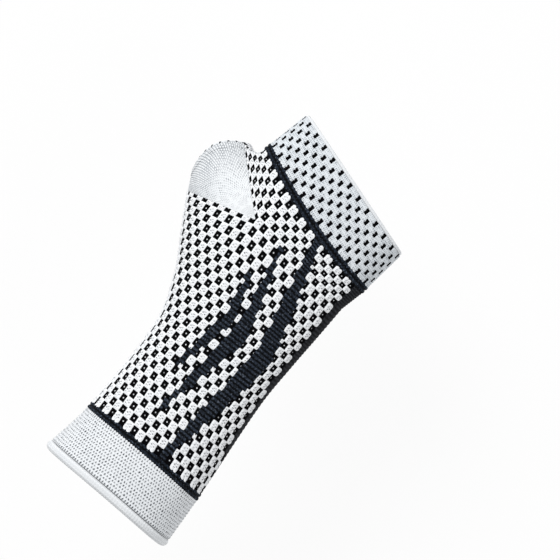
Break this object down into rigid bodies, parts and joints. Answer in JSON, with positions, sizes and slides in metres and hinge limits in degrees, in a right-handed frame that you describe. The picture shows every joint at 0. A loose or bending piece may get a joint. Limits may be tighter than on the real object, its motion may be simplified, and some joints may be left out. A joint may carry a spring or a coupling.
{
  "type": "wrist support sleeve",
  "caption": "Knitted elastic wrist support worn like a fingerless sleeve, with a slanted palm cuff, a rolled forearm cuff, a thumb heel and opening, and a checked knit body.",
  "frame": {"origin": "middle of the forearm opening, on the line between the two ends of the rolled edge", "axes": "+Y along the sleeve to the fingers, +X to the little finger side, +Z to the back of the hand; the thumb is on the -X side"},
  "size_m": [0.1045, 0.2048, 0.0566],
  "materials": {
    "check_knit": "puffy jacquard knit of white and navy checks",
    "navy_knit": "ridged navy knit",
    "grey_knit": "fine light grey knit",
    "palm_cuff_knit": "fine pale knit with small dark marks",
    "charcoal_knit": "plain charcoal knit with fine cross ribs",
    "elastic_thread": "covered elastic thread"
  },
  "bodies": {
    "forearm": {"forearm_welt": "grey_knit", "forearm_cuff": "grey_knit", "forearm_lining": "grey_knit", "forearm_elastic": "elastic_thread", "forearm_stripe": "navy_knit", "forearm_sleeve": "check_knit", "ulnar_panel_forearm": "charcoal_knit"},
    "carpus": {"wrist_sleeve_proximal": "check_knit", "wrist_sleeve_distal": "check_knit", "ulnar_panel_wrist_proximal": "charcoal_knit", "ulnar_panel_wrist_distal": "charcoal_knit"},
    "hand": {"hand_sleeve": "check_knit", "hand_back": "check_knit", "hand_palm": "check_knit", "ulnar_panel_hand": "charcoal_knit", "palm_stripe": "navy_knit", "palm_cuff": "palm_cuff_knit", "palm_lining": "palm_cuff_knit", "palm_elastic": "elastic_thread", "palm_hem": "palm_cuff_knit"},
    "thumb": {"thumb_heel": "grey_knit", "thumb_web": "check_knit", "thumb_hem": "grey_knit", "thumb_overlock": "navy_knit"}
  },
  "joints": [
    {"name": "wrist_deviation", "type": "hinge", "parent": "forearm", "child": "carpus", "pos_m": [0, 0.07, 0], "axis": [0, 0, 1], "range_deg": [-25, 12], "stiffness_Nm_per_rad": 0.3, "deforming": ["wrist_sleeve_proximal", "ulnar_panel_wrist_proximal"]},
    {"name": "wrist_flexion", "type": "hinge", "parent": "carpus", "child": "hand", "pos_m": [-0.003, 0.094, 0], "axis": [1, 0, 0], "range_deg": [-40, 35], "stiffness_Nm_per_rad": 0.3, "deforming": ["wrist_sleeve_distal", "ulnar_panel_wrist_distal"]},
    {"name": "thumb_fold", "type": "hinge", "parent": "hand", "child": "thumb", "pos_m": [-0.0535, 0.157, 0], "axis": [0.4039, 0.9148, 0], "range_deg": [-30, 15], "stiffness_Nm_per_rad": 0.05, "deforming": ["thumb_heel", "thumb_web"]}
  ]
}
